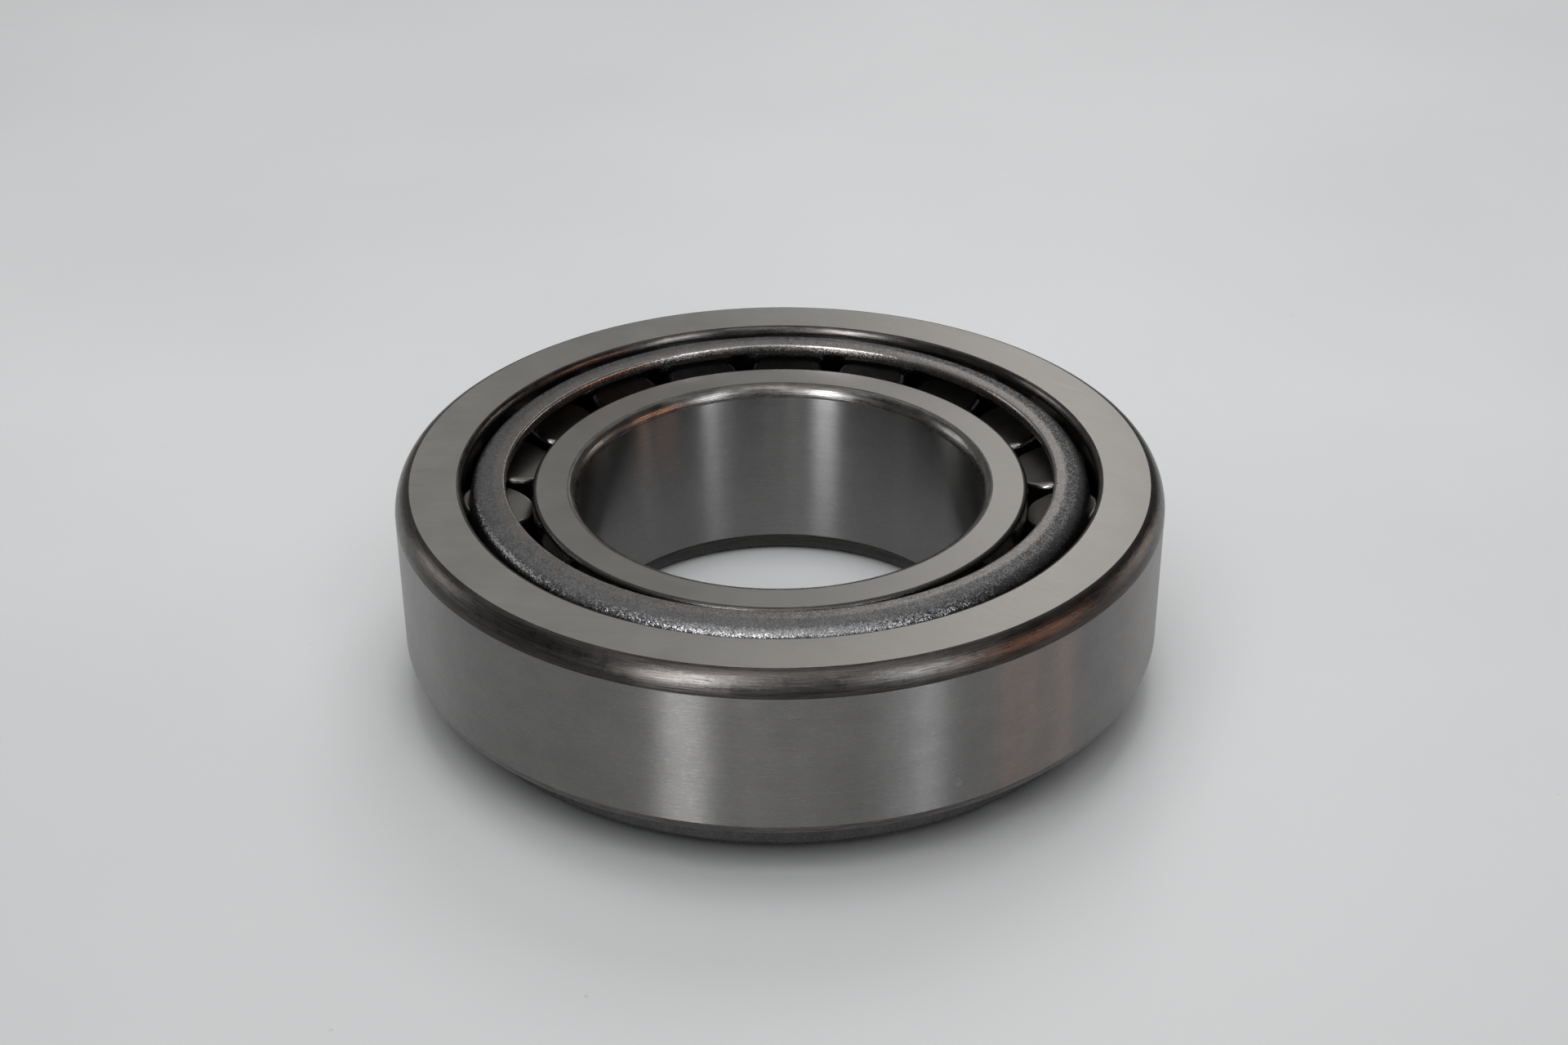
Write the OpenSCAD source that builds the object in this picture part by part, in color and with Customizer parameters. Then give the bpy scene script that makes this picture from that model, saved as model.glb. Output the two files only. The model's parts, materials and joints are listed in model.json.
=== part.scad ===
// Single-row tapered roller bearing: outer ring (cup), inner ring (cone), pressed-steel cage and rollers.
// Millimetres. The bearing axis is Z, and the cone's back face stands on z = 0.
// Every rolling surface is a cone about one common apex on the axis, so the rollers roll without slip.

/* [Boundary dimensions] */
// Diameter of the shaft bore
bore_d = 45; // [44:0.1:46]
// Outer diameter of the cup
outer_d = 85; // [84:0.1:86]
// Width over both rings, from the cone's back face to the cup's back face
total_w = 24.75; // [24.5:0.05:25]
// Width of the cone
cone_w = 23; // [22.6:0.1:23.4]
// Width of the cup
cup_w = 19; // [18:0.1:19.5]

/* [Raceways] */
// Half-angle of the cup's raceway, in degrees
cup_angle = 15.109; // [14.9:0.001:15.3]
// Diameter at which the cup's raceway would meet its back face
cup_small_d = 69.61; // [69.2:0.01:70]
// Gap between a roller and each raceway, across the surfaces
raceway_gap = 0.08; // [0.05:0.01:0.1]

/* [Rollers] */
// Number of rollers
roller_count = 19; // [16:1:19]
// Roller diameter half way along, before the raceway gaps
roller_d = 9.5; // [9.2:0.05:9.6]
// Roller length
roller_l = 16.2; // [15.8:0.1:16.4]
// Height of a roller's centre above the cone's back face
roller_mid_z = 13; // [12.9:0.05:13.1]
// Angle of the first roller about the axis, from +X
first_angle = 12.4; // [0:0.1:20]
// Corner radius of the roller's ends
roller_corner = 0.65; // [0.3:0.05:0.9]
// Gap between the roller's large end and the cone's large rib
large_end_gap = 0.08; // [0.05:0.01:0.12]
// Gap between the roller's small end and the cone's small rib
small_end_gap = 0.35; // [0.2:0.05:0.5]

/* [Cone] */
// Outer diameter of the large rib
large_rib_d = 64.4; // [63.6:0.1:65]
// Outer diameter of the small rib
small_rib_d = 55; // [54.6:0.1:55.2]
// Corner rounding at the bore's back end: across and along the axis
bore_back_round = [1.9, 2.6]; // [1:0.1:3]
// Corner rounding at the bore's front end: across and along the axis
bore_front_round = [1.15, 1.5]; // [0.5:0.05:2]
// Edge break on the two ribs
rib_edge = 0.5; // [0.3:0.05:0.7]
// Depth of the grinding relief in the raceway's corners
relief_depth = 0.3; // [0.2:0.05:0.4]
// Length of the grinding relief in the raceway's corners
relief_l = 0.9; // [0.6:0.1:1.2]

/* [Cup] */
// Outer corner rounding at the back face: across and along the axis
cup_back_round = [1.7, 2.55]; // [1:0.05:3]
// Outer corner rounding at the front face: across and along the axis
cup_front_round = [0.65, 1.1]; // [0.4:0.05:1.5]
// Inner corner rounding at the back face: across and along the axis
cup_inner_back_round = [0.6, 1]; // [0.3:0.05:1.2]
// Inner corner rounding at the front face: across and along the axis
cup_inner_front_round = [0.5, 0.6]; // [0.3:0.05:1]

/* [Cage] */
// Thickness of the cage's sheet steel
sheet_t = 1.3; // [1.1:0.05:1.4]
// Distance from the roller's axis out to the inside of the cage's wall
wall_offset = 2.1; // [2:0.05:2.2]
// Height of the cage's flange above the cone's back face
cage_top_z = 24.7; // [24.4:0.05:24.75]
// Height of the cage's rim above the cone's back face
cage_rim_z = 1.75; // [1.4:0.05:2.2]
// Inside diameter of the cage's flange
flange_inner_d = 60.6; // [60:0.1:61]
// Width of the flange's flat inner part
flange_flat = 1.4; // [1:0.1:1.6]
// Slope of the flange's outer part, in degrees
flange_slope = 9; // [4:1:12]
// Outside radius of the bend between the cage's wall and its flange
bend_r = 1.7; // [1.6:0.05:2]
// Gap between a roller and the long sides of its pocket
pocket_side_gap = 0.2; // [0.15:0.05:0.3]
// Gap between a roller and the ends of its pocket
pocket_end_gap = 0.3; // [0.2:0.05:0.4]
// Corner radius of a pocket
pocket_corner = 0.9; // [0.5:0.1:1.2]

/* [Hidden] */
$fn = 120;
// Straight pieces in each rounded corner
corner_steps = 6;
// Smallest length that makes one shape run past another
past = 0.5;

bore_r = bore_d / 2;
outer_r = outer_d / 2;
cup_front_z = total_w - cup_w;
// Height of the common apex of all the rolling cones
apex_z = total_w + cup_small_d / 2 / tan(cup_angle);
// Tilt of a roller's axis, by halving the step between the cup's angle and its own half-angle
mid_tilt_guess = cup_angle - atan(roller_d / 2 * cos(cup_angle) / (apex_z - roller_mid_z));
roller_half_angle = atan(roller_d / 2 * cos(mid_tilt_guess) / (apex_z - roller_mid_z));
roller_tilt = cup_angle - roller_half_angle;
// Distances from the apex, measured along a roller's axis
mid_s = (apex_z - roller_mid_z) / cos(roller_tilt);
large_s = mid_s + roller_l / 2;
small_s = mid_s - roller_l / 2;
large_rib_s = large_s + large_end_gap;
small_rib_s = small_s - small_end_gap;
// Angle between neighbouring rollers
pitch = 360 / roller_count;

function roller_name(i) = str("roller_", i < 10 ? "0" : "", i);

// A point in the section, from its distance s to the apex along a roller's axis and its offset t outwards
function on_roller(s, t) = [
    s * sin(roller_tilt) + t * cos(roller_tilt),
    apex_z - s * cos(roller_tilt) + t * sin(roller_tilt)
];
// The offset at which a line square to the roller's axis reaches radius r
function offset_at(s, r) = (r - s * sin(roller_tilt)) / cos(roller_tilt);
// Radius of a roller's full cone at distance s from the apex, before the gap
function roller_r(s) = s * tan(roller_half_angle);
// Radius of the cup's raceway at height z
function cup_r(z) = (apex_z - z) * tan(cup_angle);
// Points along an elliptical arc about c, from angle a to angle b
function arc_points(c, radii, a, b) = [
    for (i = [0:corner_steps])
        let (angle = a + (b - a) * i / corner_steps)
        c + [radii[0] * cos(angle), radii[1] * sin(angle)]
];

module cup() {
    inner_front_z = cup_front_z + cup_inner_front_round[1];
    inner_back_z = total_w - cup_inner_back_round[1];
    front_inner_r = cup_r(cup_front_z) + cup_inner_front_round[0];
    back_inner_r = cup_r(inner_back_z) + cup_inner_back_round[0];
    color("silver")
        rotate_extrude()
            polygon(concat(
                arc_points([front_inner_r, inner_front_z],
                    [front_inner_r - cup_r(inner_front_z), cup_inner_front_round[1]], 180, 270),
                arc_points([outer_r - cup_front_round[0], cup_front_z + cup_front_round[1]],
                    cup_front_round, 270, 360),
                arc_points([outer_r - cup_back_round[0], total_w - cup_back_round[1]],
                    cup_back_round, 0, 90),
                arc_points([back_inner_r, inner_back_z], cup_inner_back_round, 90, 180)
            ));
}

module cone() {
    large_relief_s = large_rib_s - relief_l;
    small_relief_s = small_rib_s + relief_l;
    large_rib_r = large_rib_d / 2;
    small_rib_r = small_rib_d / 2;
    // Raceway point at distance s, sunk below the rolling surface by depth
    function raceway(s, depth) = on_roller(s, -roller_r(s) - depth);
    color("lightgray")
        rotate_extrude()
            polygon(concat(
                arc_points([bore_r + bore_back_round[0], bore_back_round[1]], bore_back_round, 180, 270),
                arc_points([large_rib_r - rib_edge, rib_edge], [rib_edge, rib_edge], 270, 360),
                [
                    on_roller(large_rib_s, offset_at(large_rib_s, large_rib_r)) - [0, rib_edge / 2],
                    on_roller(large_rib_s, offset_at(large_rib_s, large_rib_r - rib_edge / 2)),
                    raceway(large_rib_s, relief_depth),
                    raceway(large_relief_s, relief_depth),
                    raceway(large_relief_s - relief_depth, 0),
                    raceway(small_relief_s + relief_depth, 0),
                    raceway(small_relief_s, relief_depth),
                    raceway(small_rib_s, relief_depth),
                    on_roller(small_rib_s, offset_at(small_rib_s, small_rib_r))
                ],
                arc_points([small_rib_r - rib_edge, cone_w - rib_edge], [rib_edge, rib_edge], 0, 90),
                arc_points([bore_r + bore_front_round[0], cone_w - bore_front_round[1]],
                    bore_front_round, 90, 180)
            ));
}

// The cage's section: a wall parallel to the rollers' axes, a bend, and a flange that slopes up to a flat
module cage_section() {
    outside = wall_offset + sheet_t;
    inner_bend_r = bend_r - sheet_t;
    flange_r = flange_inner_d / 2;
    crease_r = flange_r + flange_flat;
    under_crease_r = crease_r - sheet_t * tan(flange_slope / 2);
    // The bend's centre lies one bend radius inside the wall, and as far under the slope
    centre_offset = outside - bend_r;
    bend_z = cage_top_z - bend_r / cos(flange_slope);
    slope_drop = (centre_offset * cos(roller_tilt) - crease_r) * tan(flange_slope);
    bend_s = (apex_z - bend_z + centre_offset * sin(roller_tilt) + slope_drop)
        / (cos(roller_tilt) - sin(roller_tilt) * tan(flange_slope));
    bend_centre = on_roller(bend_s, centre_offset);
    rim_s = (apex_z - cage_rim_z + wall_offset * sin(roller_tilt)) / cos(roller_tilt);
    edge = sheet_t / 4;
    polygon(concat(
        [
            on_roller(rim_s - edge, wall_offset),
            on_roller(rim_s, wall_offset + edge),
            on_roller(rim_s, outside - edge),
            on_roller(rim_s - edge, outside)
        ],
        arc_points(bend_centre, [bend_r, bend_r], roller_tilt, 90 - flange_slope),
        [
            [crease_r, cage_top_z],
            [flange_r + edge, cage_top_z],
            [flange_r, cage_top_z - edge],
            [flange_r, cage_top_z - sheet_t + edge],
            [flange_r + edge, cage_top_z - sheet_t],
            [under_crease_r, cage_top_z - sheet_t]
        ],
        arc_points(bend_centre, [inner_bend_r, inner_bend_r], 90 - flange_slope, roller_tilt)
    ));
}

// Cutter for one pocket, in a roller's own frame: X outwards, Y along the rim, Z towards the small end
module pocket_cutter() {
    // Half the pocket's width at distance s: where the roller passes the wall's inner face, and a gap
    function half_width(s) = sqrt(pow(roller_r(s), 2) - pow(wall_offset, 2)) + pocket_side_gap;
    top = roller_l / 2 + pocket_end_gap;
    wide = half_width(large_s) - pocket_corner;
    narrow = half_width(small_s) - pocket_corner;
    rounding = [pocket_corner, pocket_corner];
    rotate([90, 0, 90])
        linear_extrude(wall_offset + sheet_t + 2 * past)
            polygon(concat(
                arc_points([wide, pocket_corner - top], rounding, 270, 360),
                arc_points([narrow, top - pocket_corner], rounding, 0, 90),
                arc_points([-narrow, top - pocket_corner], rounding, 90, 180),
                arc_points([-wide, pocket_corner - top], rounding, 180, 270)
            ));
}

// Puts a shape made in a roller's own frame at place i around the axis
module at_roller(i) {
    centre = on_roller(mid_s, 0);
    rotate([0, 0, first_angle + (i - 1) * pitch])
        translate([centre[0], 0, centre[1]])
            rotate([0, -roller_tilt, 0])
                children();
}

module cage() {
    color("dimgray")
        difference() {
            rotate_extrude() cage_section();
            for (i = [1:roller_count]) at_roller(i) pocket_cutter();
        }
}

module roller(i) {
    // The gap is taken off across the surface
    thin = raceway_gap / cos(roller_half_angle);
    rounding = [roller_corner, roller_corner];
    color("gainsboro")
        at_roller(i)
            translate([0, 0, -roller_l / 2])
                rotate_extrude()
                    polygon(concat(
                        [[0, 0]],
                        arc_points([roller_r(large_s) - thin - roller_corner, roller_corner],
                            rounding, 270, 360),
                        arc_points([roller_r(small_s) - thin - roller_corner, roller_l - roller_corner],
                            rounding, 0, 90),
                        [[0, roller_l]]
                    ));
}

cup();
cone();
cage();
for (i = [1:roller_count])
    roller(i);
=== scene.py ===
import json
import math

import bmesh
import bpy
from mathutils import Matrix, Vector


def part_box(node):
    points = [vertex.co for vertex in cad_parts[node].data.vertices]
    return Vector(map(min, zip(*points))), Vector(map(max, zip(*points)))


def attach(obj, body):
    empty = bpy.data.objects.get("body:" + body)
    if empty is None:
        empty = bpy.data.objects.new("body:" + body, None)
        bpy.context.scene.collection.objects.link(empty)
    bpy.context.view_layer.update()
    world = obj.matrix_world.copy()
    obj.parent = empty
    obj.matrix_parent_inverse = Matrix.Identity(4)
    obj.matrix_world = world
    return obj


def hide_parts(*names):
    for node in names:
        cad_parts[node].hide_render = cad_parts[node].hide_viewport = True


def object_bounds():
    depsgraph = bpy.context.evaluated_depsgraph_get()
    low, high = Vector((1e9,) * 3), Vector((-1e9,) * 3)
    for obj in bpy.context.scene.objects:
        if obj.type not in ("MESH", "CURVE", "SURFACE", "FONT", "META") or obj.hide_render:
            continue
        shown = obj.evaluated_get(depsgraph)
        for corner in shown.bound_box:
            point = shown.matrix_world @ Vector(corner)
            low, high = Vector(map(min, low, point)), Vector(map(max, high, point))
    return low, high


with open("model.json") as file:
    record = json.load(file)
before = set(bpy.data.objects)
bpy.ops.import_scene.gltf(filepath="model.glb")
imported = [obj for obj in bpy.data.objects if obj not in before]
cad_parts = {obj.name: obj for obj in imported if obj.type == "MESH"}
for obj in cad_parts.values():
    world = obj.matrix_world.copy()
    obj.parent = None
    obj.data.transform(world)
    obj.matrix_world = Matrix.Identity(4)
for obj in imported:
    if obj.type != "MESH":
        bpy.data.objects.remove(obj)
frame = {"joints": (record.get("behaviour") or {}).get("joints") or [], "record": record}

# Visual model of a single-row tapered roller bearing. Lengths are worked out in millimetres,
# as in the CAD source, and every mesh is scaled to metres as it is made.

MM = 0.001
cad_low, cad_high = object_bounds()
record = frame["record"]
joints = {joint["name"]: joint for joint in frame["joints"]}
mounts = {mount["name"]: mount for mount in record["mounts"]}


# ---------------------------------------------------------------- dimensions

BORE_R = mounts["shaft_bore"]["dims"]["r_mm"]
OUTER_R = mounts["housing_seat"]["dims"]["r_mm"]
CUP_FRONT_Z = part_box("cup")[0].z / MM
CUP_BACK_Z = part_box("cup")[1].z / MM
CONE_FRONT_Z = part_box("cone")[1].z / MM
CAGE_RIM_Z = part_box("cage")[0].z / MM
CAGE_TOP_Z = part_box("cage")[1].z / MM

CUP_ANGLE = math.radians(15.109)
CUP_SMALL_R = 34.805
RACEWAY_GAP = 0.08
ROLLER_COUNT = 19
ROLLER_R = 4.75
ROLLER_L = 16.2
ROLLER_MID_Z = 13.0
ROLLER_CORNER = 0.65
LARGE_END_GAP = 0.08
SMALL_END_GAP = 0.35
LARGE_RIB_R = 32.2
SMALL_RIB_R = 27.5
RIB_EDGE = 0.5
RELIEF_DEPTH = 0.3
RELIEF_L = 0.9
SHEET_T = 1.3
WALL_OFFSET = 2.1
FLANGE_INNER_R = 30.3
FLANGE_FLAT = 1.4
FLANGE_SLOPE = math.radians(9)
BEND_R = 1.7
POCKET_SIDE_GAP = 0.2
POCKET_END_GAP = 0.3
POCKET_CORNER = 0.9
PITCH = 2 * math.pi / ROLLER_COUNT

# Fineness of the turned meshes, in faces round the axis
RING_SEGMENTS = 304
ROLLER_SEGMENTS = 96

# Edges that fold by more than these angles, in degrees, stay sharp
RING_SHARP = 5
CAGE_SHARP = 35
ROLLER_SHARP = 25
FLOOR_SHARP = 24

# The common apex of the rolling cones, and distances from it along a roller's axis
APEX_Z = CUP_BACK_Z + CUP_SMALL_R / math.tan(CUP_ANGLE)
APEX_DROP = APEX_Z - ROLLER_MID_Z
TILT_GUESS = CUP_ANGLE - math.atan(ROLLER_R * math.cos(CUP_ANGLE) / APEX_DROP)
HALF_ANGLE = math.atan(ROLLER_R * math.cos(TILT_GUESS) / APEX_DROP)
TILT = CUP_ANGLE - HALF_ANGLE
MID_S = APEX_DROP / math.cos(TILT)
LARGE_S = MID_S + ROLLER_L / 2
SMALL_S = MID_S - ROLLER_L / 2


def on_roller(s, t):
    """(r, z) of the point at distance s from the apex along a roller's axis, offset t outwards."""
    r = s * math.sin(TILT) + t * math.cos(TILT)
    z = APEX_Z - s * math.cos(TILT) + t * math.sin(TILT)
    return r, z


def offset_at(s, r):
    """Offset at which a line square to the roller's axis reaches radius r."""
    return (r - s * math.sin(TILT)) / math.cos(TILT)


def roller_r(s):
    return s * math.tan(HALF_ANGLE)


def cup_r(z):
    return (APEX_Z - z) * math.tan(CUP_ANGLE)


# ---------------------------------------------------------------- mesh tools

def arc(centre, radii, start, end, steps=10):
    """Points along an elliptical arc, with angles in degrees."""
    points = []
    for i in range(steps + 1):
        angle = math.radians(start + (end - start) * i / steps)
        points.append((
            centre[0] + radii[0] * math.cos(angle),
            centre[1] + radii[1] * math.sin(angle),
        ))
    return points


def turned_corner(first, last, start, lean=7, steps=14):
    """A quarter-round from point first to point last that meets both faces at a slight crease.

    start is the quadrant's first angle in degrees; the arc is trimmed by lean at each end.
    """
    a0 = math.radians(start + lean)
    a1 = math.radians(start + 90 - lean)
    radius_r = (last[0] - first[0]) / (math.cos(a1) - math.cos(a0))
    radius_z = (last[1] - first[1]) / (math.sin(a1) - math.sin(a0))
    centre = (first[0] - radius_r * math.cos(a0), first[1] - radius_z * math.sin(a0))
    return arc(centre, (radius_r, radius_z), start + lean, start + 90 - lean, steps)


def rounded(points, radius, steps=4):
    """An open run of points whose inner corners are rounded off by about radius."""
    result = [points[0]]
    for before, corner, after in zip(points, points[1:], points[2:]):
        corner_v = Vector(corner)
        to_before = Vector(before) - corner_v
        to_after = Vector(after) - corner_v
        reach = min(radius, to_before.length * 0.45, to_after.length * 0.45)
        p0 = corner_v + to_before.normalized() * reach
        p2 = corner_v + to_after.normalized() * reach
        for i in range(steps + 1):
            u = i / steps
            p = p0 * (1 - u) ** 2 + corner_v * 2 * u * (1 - u) + p2 * u ** 2
            result.append((p.x, p.y))
    result.append(points[-1])
    return result


def split_line(start, end, steps):
    """Points strictly between start and end."""
    return [
        (start[0] + (end[0] - start[0]) * i / steps, start[1] + (end[1] - start[1]) * i / steps)
        for i in range(1, steps)
    ]


def line(start, end, steps):
    """Points from start to end, both included."""
    return [start] + split_line(start, end, steps) + [end]


def mark_sharp(bm, limit_deg):
    for face in bm.faces:
        face.smooth = True
    for edge in bm.edges:
        if len(edge.link_faces) == 2:
            edge.smooth = edge.calc_face_angle(0.0) < math.radians(limit_deg)


def mesh_object(name, bm, materials, sharp_deg):
    bmesh.ops.remove_doubles(bm, verts=bm.verts, dist=2e-7)
    bmesh.ops.recalc_face_normals(bm, faces=bm.faces)
    mark_sharp(bm, sharp_deg)
    mesh = bpy.data.meshes.new(name)
    bm.to_mesh(mesh)
    bm.free()
    for material in materials:
        mesh.materials.append(material)
    obj = bpy.data.objects.new(name, mesh)
    bpy.context.scene.collection.objects.link(obj)
    return obj


def add_lathe(bm, zones, segments, closed):
    """Turns zones, a list of (run of (r, z) points in mm, material slot), about Z.

    Each zone starts where the last one ends. A point on the axis becomes one vertex.
    """
    profile = []
    for run, material in zones:
        for point in run:
            if profile and math.dist(profile[-1][0], point) < 1e-6:
                profile[-1] = (profile[-1][0], material)
                continue
            profile.append((point, material))
    if closed and math.dist(profile[0][0], profile[-1][0]) < 1e-6:
        profile.pop()
    rings = []
    for (r, z), material in profile:
        if r < 1e-9:
            rings.append([bm.verts.new((0, 0, z * MM))])
            continue
        ring = []
        for i in range(segments):
            angle = 2 * math.pi * i / segments
            ring.append(bm.verts.new((r * math.cos(angle) * MM, r * math.sin(angle) * MM, z * MM)))
        rings.append(ring)
    last = len(rings) if closed else len(rings) - 1
    for k in range(last):
        here = rings[k]
        there = rings[(k + 1) % len(rings)]
        material = profile[k][1]
        for i in range(segments):
            j = (i + 1) % segments
            corners = [
                here[i % len(here)],
                here[j % len(here)],
                there[j % len(there)],
                there[i % len(there)],
            ]
            unique = []
            for corner in corners:
                if corner not in unique:
                    unique.append(corner)
            face = bm.faces.new(unique)
            face.material_index = material


# ---------------------------------------------------------------- shader tools

class Graph:
    """A material's node tree, with one Principled shader and short calls for the usual nodes."""

    def __init__(self, name):
        self.material = bpy.data.materials.new(name)
        self.material.use_nodes = True
        self.tree = self.material.node_tree
        self.tree.nodes.clear()
        self.output = self.tree.nodes.new("ShaderNodeOutputMaterial")
        self.shader = self.tree.nodes.new("ShaderNodeBsdfPrincipled")
        self.link(self.shader.outputs[0], self.output.inputs[0])
        position = self.tree.nodes.new("ShaderNodeTexCoord").outputs["Object"]
        self.mm = self.vector("SCALE", position, scale=1 / MM)
        split = self.tree.nodes.new("ShaderNodeSeparateXYZ")
        self.link(self.mm, split.inputs[0])
        self.x, self.y, self.z = split.outputs
        squares = self.math("ADD", self.math("POWER", self.x, 2), self.math("POWER", self.y, 2))
        self.r = self.math("SQRT", squares)

    def link(self, source, target):
        self.tree.links.new(source, target)

    def put(self, socket, value):
        if isinstance(value, bpy.types.NodeSocket):
            self.link(value, socket)
        else:
            socket.default_value = value

    def math(self, operation, a, b=0.0, clamp=False):
        node = self.tree.nodes.new("ShaderNodeMath")
        node.operation = operation
        node.use_clamp = clamp
        self.put(node.inputs[0], a)
        self.put(node.inputs[1], b)
        return node.outputs[0]

    def vector(self, operation, a, b=None, scale=1.0):
        node = self.tree.nodes.new("ShaderNodeVectorMath")
        node.operation = operation
        self.put(node.inputs[0], a)
        if b is not None:
            self.put(node.inputs[1], b)
        if operation == "SCALE":
            self.put(node.inputs["Scale"], scale)
        return node.outputs[0]

    def stretched(self, x, y, z):
        """The position in mm, scaled by a number along each axis."""
        return self.vector("MULTIPLY", self.mm, (x, y, z))

    def weighed(self, *pairs):
        """A vector of up to three values, each a (value, factor) pair."""
        return self.combine(*[self.math("MULTIPLY", value, factor) for value, factor in pairs])

    def combine(self, x, y, z):
        node = self.tree.nodes.new("ShaderNodeCombineXYZ")
        for socket, value in zip(node.inputs, (x, y, z)):
            self.put(socket, value)
        return node.outputs[0]

    def noise(self, vector, scale, detail=2.0, roughness=0.5, distortion=0.0):
        node = self.tree.nodes.new("ShaderNodeTexNoise")
        self.put(node.inputs["Vector"], vector)
        node.inputs["Scale"].default_value = scale
        node.inputs["Detail"].default_value = detail
        node.inputs["Roughness"].default_value = roughness
        node.inputs["Distortion"].default_value = distortion
        return node.outputs[0]

    def cells(self, vector, scale, feature="F1", output="Distance"):
        node = self.tree.nodes.new("ShaderNodeTexVoronoi")
        node.feature = feature
        self.put(node.inputs["Vector"], vector)
        node.inputs["Scale"].default_value = scale
        return node.outputs[output]

    def span(self, value, low, high, to_low=0.0, to_high=1.0):
        """Maps low..high to to_low..to_high, held at the ends."""
        node = self.tree.nodes.new("ShaderNodeMapRange")
        self.put(node.inputs["Value"], value)
        node.inputs["From Min"].default_value = low
        node.inputs["From Max"].default_value = high
        node.inputs["To Min"].default_value = to_low
        node.inputs["To Max"].default_value = to_high
        return node.outputs[0]

    def mix(self, factor, a, b, blend="MIX"):
        node = self.tree.nodes.new("ShaderNodeMix")
        node.data_type = "RGBA"
        node.blend_type = blend
        self.put(node.inputs[0], factor)
        self.put(node.inputs[6], (*a, 1) if isinstance(a, tuple) else a)
        self.put(node.inputs[7], (*b, 1) if isinstance(b, tuple) else b)
        return node.outputs[2]

    def shade(self, colour, factor):
        """colour multiplied by a grey factor."""
        return self.vector("SCALE", colour, scale=factor)

    def bump(self, height, strength, distance_mm, below=None):
        node = self.tree.nodes.new("ShaderNodeBump")
        node.inputs["Strength"].default_value = strength
        node.inputs["Distance"].default_value = distance_mm * MM
        self.link(height, node.inputs["Height"])
        if below is not None:
            self.link(below, node.inputs["Normal"])
        return node.outputs[0]

    def grain_across(self, turn=0.25):
        """Stretches highlights across lines that run round the axis."""
        node = self.tree.nodes.new("ShaderNodeTangent")
        node.direction_type = "RADIAL"
        node.axis = "Z"
        self.link(node.outputs[0], self.shader.inputs["Tangent"])
        self.shader.inputs["Anisotropic Rotation"].default_value = turn

    def finish(self, colour, roughness, normal=None, metallic=1.0, anisotropic=0.0):
        shader = self.shader
        self.put(shader.inputs["Base Color"], colour)
        self.put(shader.inputs["Roughness"], roughness)
        shader.inputs["Metallic"].default_value = metallic
        shader.inputs["Anisotropic"].default_value = anisotropic
        if normal is not None:
            self.link(normal, shader.inputs["Normal"])
        return self.material


# ---------------------------------------------------------------- materials

# How far the facets of blasted steel lean from the surface
FACET_TILT = 0.30


def ground_face(name, light, dark, roughness):
    """A flat ground face: fine, slightly curved lines straight across, and faint cloudy patches."""
    g = Graph(name)
    bowed = g.math("ADD", g.math("MULTIPLY", g.y, 0.9), g.math("MULTIPLY", g.x, 0.35))
    bowed = g.math("ADD", bowed, g.math("MULTIPLY", g.math("POWER", g.x, 2), 0.004))
    lines = g.noise(g.weighed((bowed, 5.5), (g.x, 0.16), (g.z, 1.0)), 1.0, 3.0, 0.6)
    fine = g.noise(g.weighed((bowed, 17.0), (g.x, 0.5), (g.z, 1.0)), 1.0, 2.0, 0.6)
    cloud = g.noise(g.mm, 0.16, 3.0, 0.55)
    speck = g.span(g.cells(g.mm, 0.9), 0.03, 0.075, 1.0, 0.0)
    tone = g.math("ADD", g.span(lines, 0.3, 0.7, 0.955, 1.035), g.span(fine, 0.3, 0.7, -0.035, 0.035))
    tone = g.math("MULTIPLY", tone, g.span(cloud, 0.3, 0.7, 0.98, 1.02))
    tone = g.math("SUBTRACT", tone, g.math("MULTIPLY", speck, 0.10))
    colour = g.shade(g.mix(g.span(cloud, 0.35, 0.65), dark, light), tone)
    rough = g.span(lines, 0.3, 0.7, roughness - 0.03, roughness + 0.04)
    rough = g.math("ADD", rough, g.span(cloud, 0.3, 0.7, -0.012, 0.012))
    normal = g.bump(fine, 0.35, 0.004)
    normal = g.bump(lines, 0.35, 0.008, normal)
    return g.finish(colour, rough, normal, anisotropic=0.35)


def ground_round(name, light, dark, roughness, dings=1.0):
    """A surface ground in the round: fine lines round the axis, faint mottling, a few small dings."""
    g = Graph(name)
    lines = g.noise(g.stretched(0.10, 0.10, 5.0), 1.0, 3.0, 0.6)
    fine = g.noise(g.stretched(0.5, 0.5, 16.0), 1.0, 2.0, 0.6)
    cloud = g.noise(g.mm, 0.22, 4.0, 0.6)
    mottle = g.noise(g.stretched(1.5, 1.5, 7.0), 1.0, 3.0, 0.65)
    ding_shape = g.noise(g.stretched(3.2, 3.2, 2.2), 1.0, 2.0, 0.6)
    ding_place = g.span(g.cells(g.mm, 0.15), 0.02, 0.10, 1.0, 0.0)
    ding = g.math("MULTIPLY", ding_place, g.span(ding_shape, 0.52, 0.58))
    tone = g.math("ADD", g.span(lines, 0.3, 0.7, 0.96, 1.04), g.span(fine, 0.3, 0.7, -0.03, 0.03))
    tone = g.math("MULTIPLY", tone, g.span(mottle, 0.3, 0.7, 0.92, 1.08))
    tone = g.math("ADD", tone, g.math("MULTIPLY", ding, 0.25 * dings))
    colour = g.shade(g.mix(g.span(cloud, 0.35, 0.65), dark, light), tone)
    rough = g.span(mottle, 0.3, 0.7, roughness - 0.01, roughness + 0.014)
    rough = g.math("ADD", rough, g.math("MULTIPLY", ding, 0.08))
    normal = g.bump(fine, 0.25, 0.003)
    normal = g.bump(lines, 0.3, 0.006, normal)
    normal = g.bump(ding, 0.4 * dings, 0.015, normal)
    g.grain_across()
    return g.finish(colour, rough, normal, anisotropic=1.0)


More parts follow.
